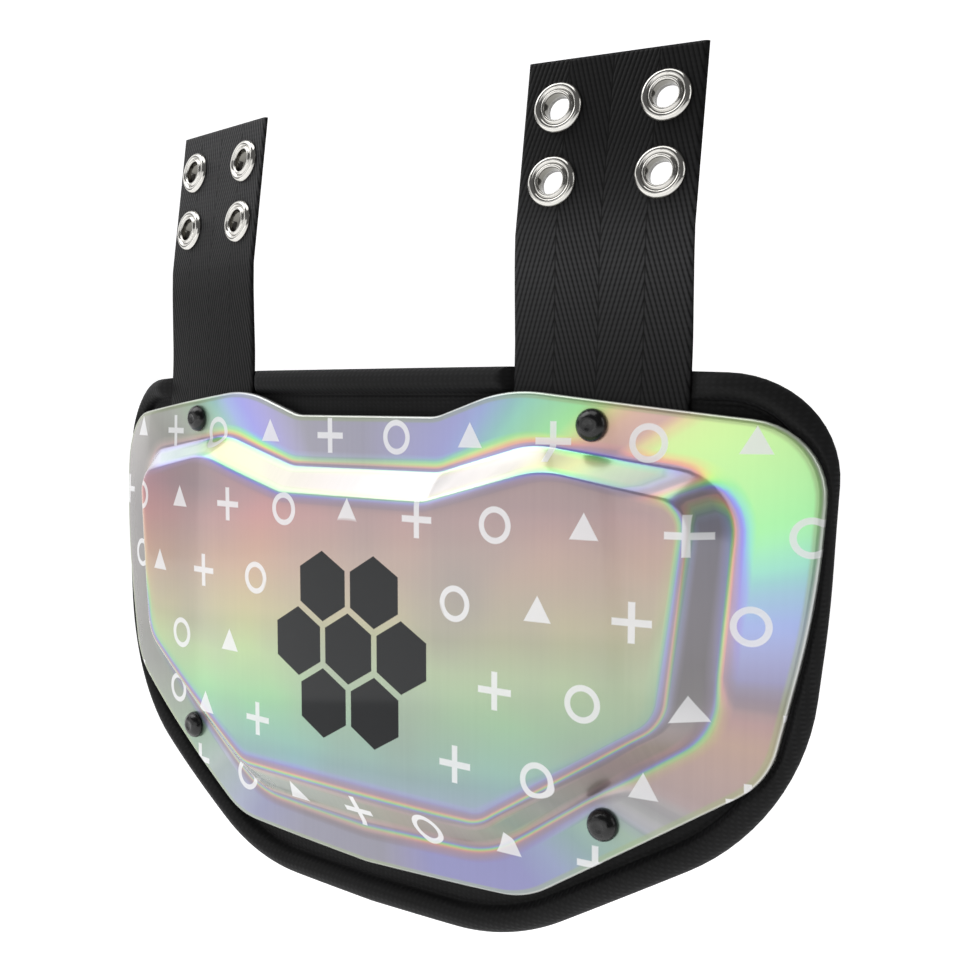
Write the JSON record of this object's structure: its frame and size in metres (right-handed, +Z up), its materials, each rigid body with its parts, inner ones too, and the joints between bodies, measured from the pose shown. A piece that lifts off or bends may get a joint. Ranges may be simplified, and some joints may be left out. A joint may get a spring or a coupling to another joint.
{
  "type": "football back plate",
  "caption": "Hard iridescent back plate for shoulder pads, with a raised middle panel, a moulded foam pad behind it and webbing straps with metal eyelets.",
  "frame": {"origin": "the point the plate hangs from, midway between its two straps at the middle of their eyelets", "axes": "+Z up along the hanging plate, -Y towards the viewer of the shell's front, +X to the right as seen from the front"},
  "size_m": [0.2786, 0.0334, 0.2499],
  "materials": {
    "foam_knit": "matte knit face moulded over foam",
    "iridescent_shell": "iridescent satin film under clear plastic",
    "webbing": "herringbone webbing",
    "nickel": "polished nickel plate",
    "rivet_black": "gloss"
  },
  "bodies": {
    "root": {"pad": "foam_knit", "shell": "iridescent_shell", "strap_right": "webbing", "strap_left": "webbing", "eyelet_right_upper_inner": "nickel", "eyelet_right_upper_outer": "nickel", "eyelet_right_lower_inner": "nickel", "eyelet_right_lower_outer": "nickel", "eyelet_left_upper_inner": "nickel", "eyelet_left_upper_outer": "nickel", "eyelet_left_lower_inner": "nickel", "eyelet_left_lower_outer": "nickel", "rivet_right_top": "rivet_black", "rivet_right_bottom": "rivet_black", "rivet_left_top": "rivet_black", "rivet_left_bottom": "rivet_black"}
  },
  "joints": []
}
